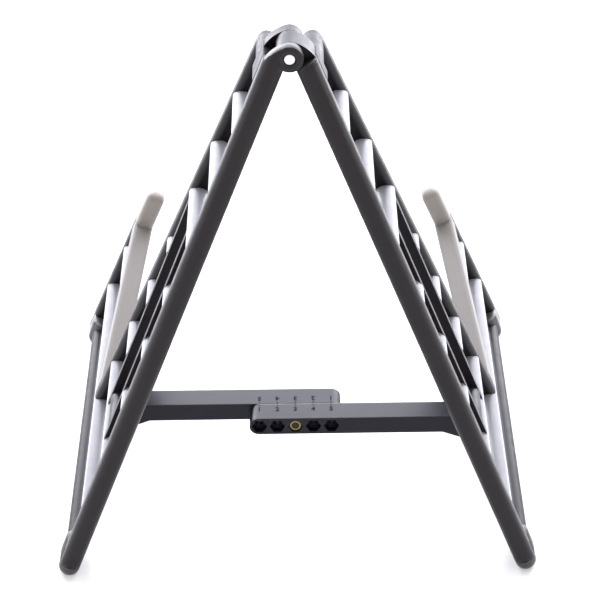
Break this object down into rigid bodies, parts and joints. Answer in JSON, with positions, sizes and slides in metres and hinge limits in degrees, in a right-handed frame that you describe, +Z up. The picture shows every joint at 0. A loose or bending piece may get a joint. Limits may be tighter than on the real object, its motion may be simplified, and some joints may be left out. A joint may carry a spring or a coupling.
{
  "type": "folding guitar stand",
  "caption": "Folding A-frame guitar stand with two hinged plastic lattice sides, rubber-padded arms and a bolted two-part spreader bar.",
  "frame": {"origin": "centre of the footprint, on the floor", "axes": "+Z up, +Y from the back of the stand towards the guitar, +X to the right seen from behind"},
  "size_m": [0.2962, 0.2806, 0.3637],
  "materials": {
    "frame_plastic": "moulded black plastic, satin gloss",
    "bar_plastic": "dark grey moulded plastic",
    "grey_rubber": "soft matt rubber",
    "foot_rubber": "matt rubber",
    "zinc_steel": "bright zinc plate",
    "brass_nut": "yellow passivated"
  },
  "bodies": {
    "left_frame": {"left_rear_leg": "frame_plastic", "left_head": "frame_plastic", "left_back_rail": "frame_plastic", "left_rear_rib": "frame_plastic", "left_front_rib": "frame_plastic", "left_upper_rungs": "frame_plastic", "left_slot_rungs": "frame_plastic", "left_cross_rungs": "frame_plastic", "left_base_tube": "frame_plastic", "left_front_post": "frame_plastic", "left_arm": "frame_plastic", "left_arm_pad": "grey_rubber", "left_tip_cover": "grey_rubber", "left_rear_foot": "foot_rubber", "left_front_foot": "foot_rubber", "left_bar_pin": "zinc_steel", "hinge_pin": "zinc_steel", "hinge_pin_clip": "zinc_steel"},
    "right_frame": {"right_rear_leg": "frame_plastic", "right_head": "frame_plastic", "right_back_rail": "frame_plastic", "right_rear_rib": "frame_plastic", "right_front_rib": "frame_plastic", "right_upper_rungs": "frame_plastic", "right_slot_rungs": "frame_plastic", "right_cross_rungs": "frame_plastic", "right_base_tube": "frame_plastic", "right_front_post": "frame_plastic", "right_arm": "frame_plastic", "right_arm_pad": "grey_rubber", "right_tip_cover": "grey_rubber", "right_rear_foot": "foot_rubber", "right_front_foot": "foot_rubber", "right_bar_pin": "zinc_steel"},
    "left_spreader": {"left_bar": "bar_plastic", "clamp_bolt_head": "zinc_steel"},
    "right_spreader": {"right_bar": "bar_plastic", "clamp_bolt_end": "zinc_steel", "clamp_nut": "brass_nut"}
  },
  "joints": [
    {"name": "fold_hinge", "type": "hinge", "parent": "left_frame", "child": "right_frame", "pos_m": [0, -0.12291, 0.35616], "axis": [0, 1, 0], "range_deg": [0, 42]},
    {"name": "left_bar_pivot", "type": "hinge", "parent": "left_frame", "child": "left_spreader", "pos_m": [-0.1087, -0.09281, 0.09112], "axis": [0, 1, 0], "range_deg": [-66, 0]},
    {"name": "right_bar_pivot", "type": "hinge", "parent": "right_frame", "child": "right_spreader", "pos_m": [0.1087, -0.09281, 0.09112], "axis": [0, 1, 0], "range_deg": [0, 66]}
  ],
  "couplings": [
    {"joint": "left_bar_pivot", "follows": "fold_hinge", "ratio": -1.56},
    {"joint": "right_bar_pivot", "follows": "fold_hinge", "ratio": 1.56}
  ]
}
